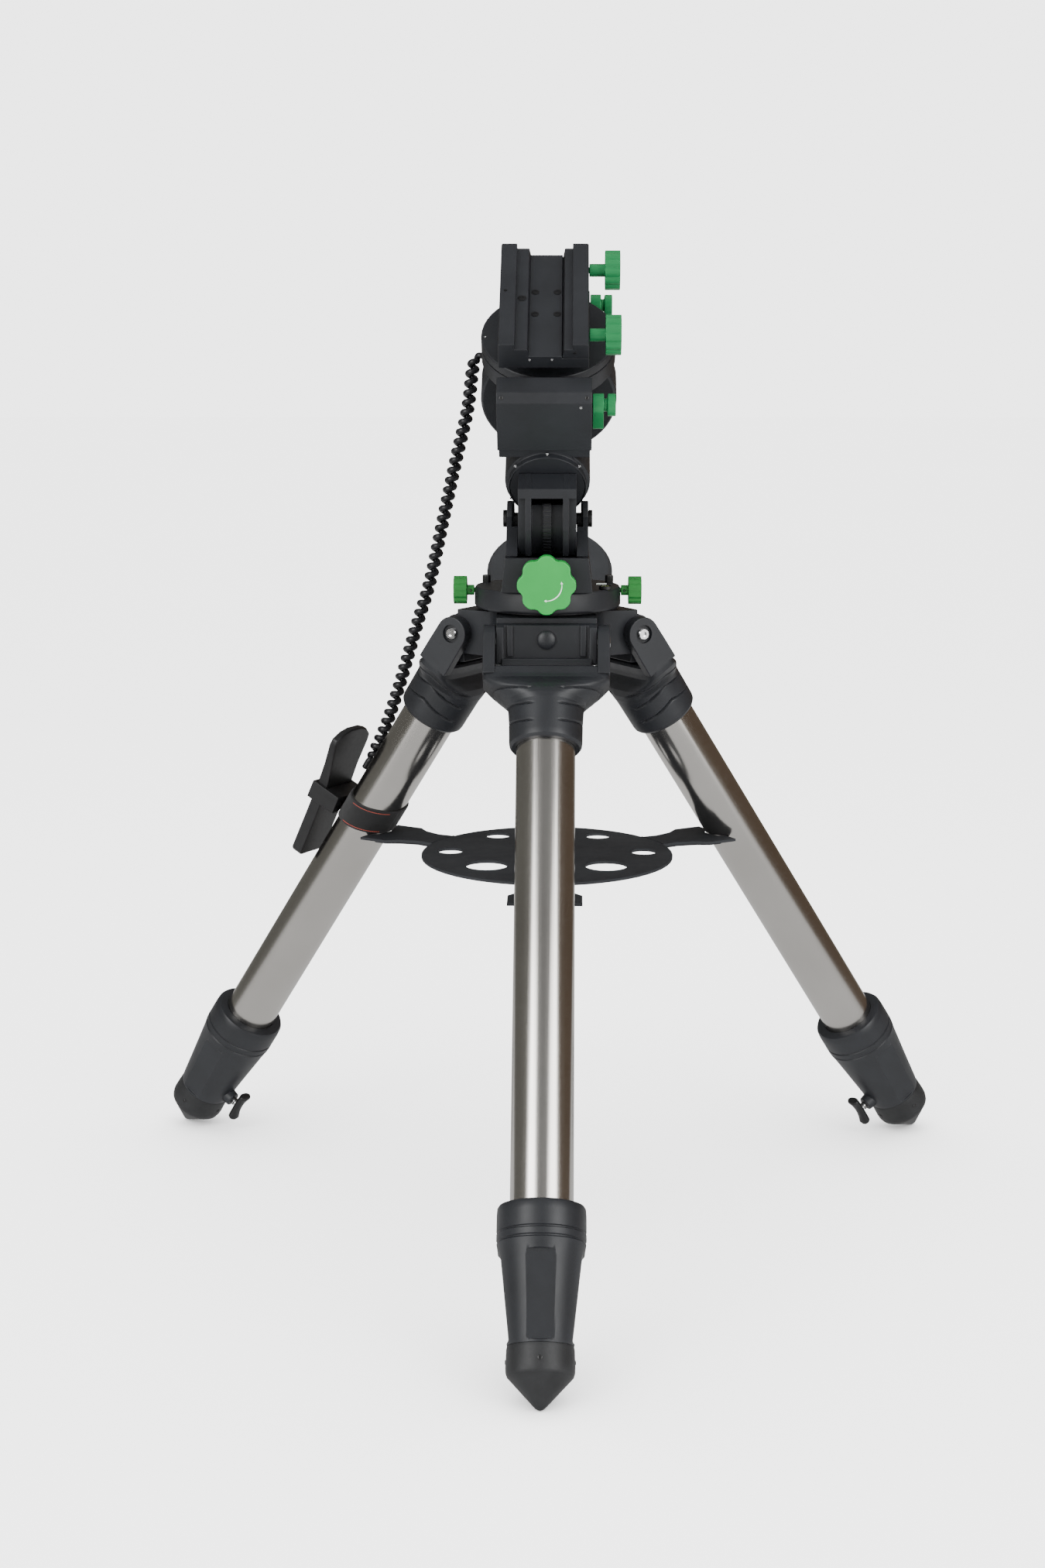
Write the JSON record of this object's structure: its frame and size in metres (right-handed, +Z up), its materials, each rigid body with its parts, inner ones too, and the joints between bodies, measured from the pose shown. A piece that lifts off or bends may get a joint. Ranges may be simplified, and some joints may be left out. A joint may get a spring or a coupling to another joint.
{
  "type": "telescope mount",
  "caption": "Dual-axis motorised telescope mount with counterweight, dovetail saddle and wired handset, on a tripod with steel legs and an accessory tray.",
  "frame": {"origin": "middle of the whole object's box at the floor", "axes": "+Z up; -Y towards the front leg and the altitude knob; +X to the side with the clutch and saddle knobs"},
  "size_m": [1.1708, 1.079, 1.3316],
  "materials": {
    "black_casting": "satin",
    "counterweight_iron": "satin",
    "leg_steel": "satin",
    "bright_steel": "polished",
    "dark_steel": "satin",
    "gear_brass": "satin",
    "green_anodised": "satin",
    "black_plastic": "satin",
    "foot_casting": "matte",
    "cord_rubber": "satin",
    "strap_webbing": "matte",
    "level_glass": "gloss"
  },
  "bodies": {
    "stand": {"tripod_hub": "black_casting", "azimuth_base": "black_casting", "center_bolt": "bright_steel", "bubble_level": "level_glass", "leg_pivot_bolt_front": "bright_steel", "leg_pivot_bolt_right": "bright_steel", "leg_pivot_bolt_left": "bright_steel"},
    "leg_front": {"leg_clamp_front": "black_casting", "leg_tube_front": "leg_steel", "leg_shoe_front": "black_casting"},
    "foot_front": {"leg_extension_front": "foot_casting"},
    "leg_lock_front": {"leg_clamp_screw_front": "black_plastic"},
    "leg_right": {"leg_clamp_right": "black_casting", "leg_tube_right": "leg_steel", "leg_shoe_right": "black_casting"},
    "foot_right": {"leg_extension_right": "foot_casting"},
    "leg_lock_right": {"leg_clamp_screw_right": "black_plastic"},
    "leg_left": {"leg_clamp_left": "black_casting", "leg_tube_left": "leg_steel", "leg_shoe_left": "black_casting", "leg_strap": "strap_webbing", "handset_cradle": "black_plastic", "handset": "black_plastic", "handset_cord": "cord_rubber"},
    "foot_left": {"leg_extension_left": "foot_casting"},
    "leg_lock_left": {"leg_clamp_screw_left": "black_plastic"},
    "tray": {"accessory_tray": "black_casting"},
    "nut": {"tray_nut": "black_plastic"},
    "azimuth_screw_left": {"azimuth_knob_left": "green_anodised"},
    "azimuth_screw_right": {"azimuth_knob_right": "green_anodised"},
    "yoke": {"azimuth_yoke": "black_casting", "altitude_axle": "dark_steel"},
    "altitude_drive": {"altitude_worm": "bright_steel", "altitude_knob": "green_anodised"},
    "polar_head": {"altitude_block": "black_casting", "polar_housing": "black_casting", "polar_cap": "black_casting", "polar_motor_cover": "black_casting", "polar_motor": "dark_steel"},
    "polar_lever": {"polar_clutch": "green_anodised"},
    "elbow": {"axis_housing": "black_casting", "polar_shaft": "bright_steel", "polar_worm_wheel": "gear_brass", "dec_motor_cover": "black_casting", "dec_motor": "dark_steel", "handset_socket": "black_plastic"},
    "dec_lever": {"dec_clutch": "green_anodised"},
    "dec_head": {"dec_disc": "black_casting", "dec_shaft": "bright_steel", "dec_worm_wheel": "gear_brass", "saddle_plate": "black_casting", "counterweight_shaft": "leg_steel", "shaft_end_cap": "black_plastic"},
    "weight": {"counterweight": "counterweight_iron"},
    "weight_screw": {"weight_lock_screw": "black_plastic"},
    "jaw": {"saddle_jaw": "black_casting"},
    "jaw_knob_far": {"saddle_knob_far": "green_anodised"},
    "jaw_knob_near": {"saddle_knob_near": "green_anodised"}
  },
  "joints": [
    {"name": "leg_fold_front", "type": "hinge", "parent": "stand", "child": "leg_front", "pos_m": [0, 0.0264, 0.814], "axis": [1, 0, 0], "range_deg": [0, 8]},
    {"name": "leg_fold_right", "type": "hinge", "parent": "stand", "child": "leg_right", "pos_m": [0.0892, 0.1809, 0.814], "axis": [-0.5, 0.866, 0], "range_deg": [0, 8]},
    {"name": "leg_fold_left", "type": "hinge", "parent": "stand", "child": "leg_left", "pos_m": [-0.0892, 0.1809, 0.814], "axis": [-0.5, -0.866, 0], "range_deg": [0, 8], "deforming": ["handset_cord"]},
    {"name": "leg_slide_front", "type": "slide", "parent": "leg_front", "child": "foot_front", "axis": [0, -0.564, -0.8258], "range_m": [0, 0.28]},
    {"name": "leg_lock_turn_front", "type": "hinge", "parent": "leg_front", "child": "leg_lock_front", "pos_m": [0, -0.43593, 0.04836], "axis": [0, 0.8258, -0.564], "range_deg": [0, 720]},
    {"name": "leg_slide_right", "type": "slide", "parent": "leg_right", "child": "foot_right", "axis": [0.4884, 0.282, -0.8258], "range_m": [0, 0.28]},
    {"name": "leg_lock_turn_right", "type": "hinge", "parent": "leg_right", "child": "leg_lock_right", "pos_m": [0.48959, 0.41206, 0.04836], "axis": [-0.7152, -0.4129, -0.564], "range_deg": [0, 720]},
    {"name": "leg_slide_left", "type": "slide", "parent": "leg_left", "child": "foot_left", "axis": [-0.4884, 0.282, -0.8258], "range_m": [0, 0.28]},
    {"name": "leg_lock_turn_left", "type": "hinge", "parent": "leg_left", "child": "leg_lock_left", "pos_m": [-0.48959, 0.41206, 0.04836], "axis": [0.7152, -0.4129, -0.564], "range_deg": [0, 720]},
    {"name": "tray_slide", "type": "slide", "parent": "stand", "child": "tray", "axis": [0, 0, -1], "range_m": [0, 0.119]},
    {"name": "tray_nut_turn", "type": "hinge", "parent": "tray", "child": "nut", "pos_m": [0, 0.1294, 0.49], "axis": [0, 0, 1], "continuous": true},
    {"name": "azimuth_turn", "type": "hinge", "parent": "stand", "child": "yoke", "pos_m": [0, 0.1294, 0.88], "axis": [0, 0, 1], "range_deg": [-8, 8], "deforming": ["handset_cord"]},
    {"name": "azimuth_knob_turn_left", "type": "hinge", "parent": "stand", "child": "azimuth_screw_left", "pos_m": [-0.11, 0.1294, 0.8715], "axis": [-1, 0, 0], "range_deg": [-1080, 1080]},
    {"name": "azimuth_knob_turn_right", "type": "hinge", "parent": "stand", "child": "azimuth_screw_right", "pos_m": [0.11, 0.1294, 0.8715], "axis": [1, 0, 0], "range_deg": [-1080, 1080]},
    {"name": "altitude_tilt", "type": "hinge", "parent": "yoke", "child": "polar_head", "pos_m": [0, 0.1294, 0.968], "axis": [1, 0, 0], "range_deg": [-15, 52], "deforming": ["handset_cord"]},
    {"name": "altitude_knob_turn", "type": "hinge", "parent": "yoke", "child": "altitude_drive", "pos_m": [0, 0.0094, 0.892], "axis": [0, -1, 0], "range_deg": [-1320, 4576]},
    {"name": "polar_clutch_swing", "type": "hinge", "parent": "polar_head", "child": "polar_lever", "pos_m": [0.066, 0.05263, 1.12132], "axis": [1, 0, 0], "range_deg": [0, 70]},
    {"name": "polar_turn", "type": "hinge", "parent": "polar_head", "child": "elbow", "pos_m": [0, 0.234, 1.1247], "axis": [0, 0.788, 0.6157], "continuous": true, "deforming": ["handset_cord"]},
    {"name": "dec_turn", "type": "hinge", "parent": "elbow", "child": "dec_head", "pos_m": [0, 0.17243, 1.2035], "axis": [0, -0.6157, 0.788], "continuous": true},
    {"name": "dec_clutch_swing", "type": "hinge", "parent": "elbow", "child": "dec_lever", "pos_m": [0.064, 0.26793, 1.25019], "axis": [1, 0, 0], "range_deg": [0, 70]},
    {"name": "weight_slide", "type": "slide", "parent": "dec_head", "child": "weight", "axis": [0, -0.6157, 0.788], "range_m": [-0.085, 0.18]},
    {"name": "weight_lock_turn", "type": "hinge", "parent": "weight", "child": "weight_screw", "pos_m": [0, 0.52527, 0.91432], "axis": [0, 0.788, 0.6157], "range_deg": [-720, 720]},
    {"name": "jaw_knob_turn_far", "type": "hinge", "parent": "jaw", "child": "jaw_knob_far", "pos_m": [0.08, 0.18443, 1.29536], "axis": [1, 0, 0], "range_deg": [0, 2881]},
    {"name": "jaw_knob_turn_near", "type": "hinge", "parent": "jaw", "child": "jaw_knob_near", "pos_m": [0.08, 0.07568, 1.21039], "axis": [1, 0, 0], "range_deg": [0, 2881]},
    {"name": "jaw_slide", "type": "slide", "parent": "dec_head", "child": "jaw", "axis": [1, 0, 0], "range_m": [0, 0.012]}
  ],
  "couplings": [
    {"joint": "altitude_knob_turn", "follows": "altitude_tilt", "ratio": 88},
    {"joint": "leg_fold_right", "follows": "leg_fold_front", "ratio": 1},
    {"joint": "leg_fold_left", "follows": "leg_fold_front", "ratio": 1},
    {"joint": "tray_slide", "follows": "leg_fold_front", "m_per_rad": 0.845},
    {"joint": "jaw_knob_turn_near", "follows": "jaw_slide", "rad_per_m": 4188.8},
    {"joint": "jaw_knob_turn_far", "follows": "jaw_slide", "rad_per_m": 4188.8}
  ]
}
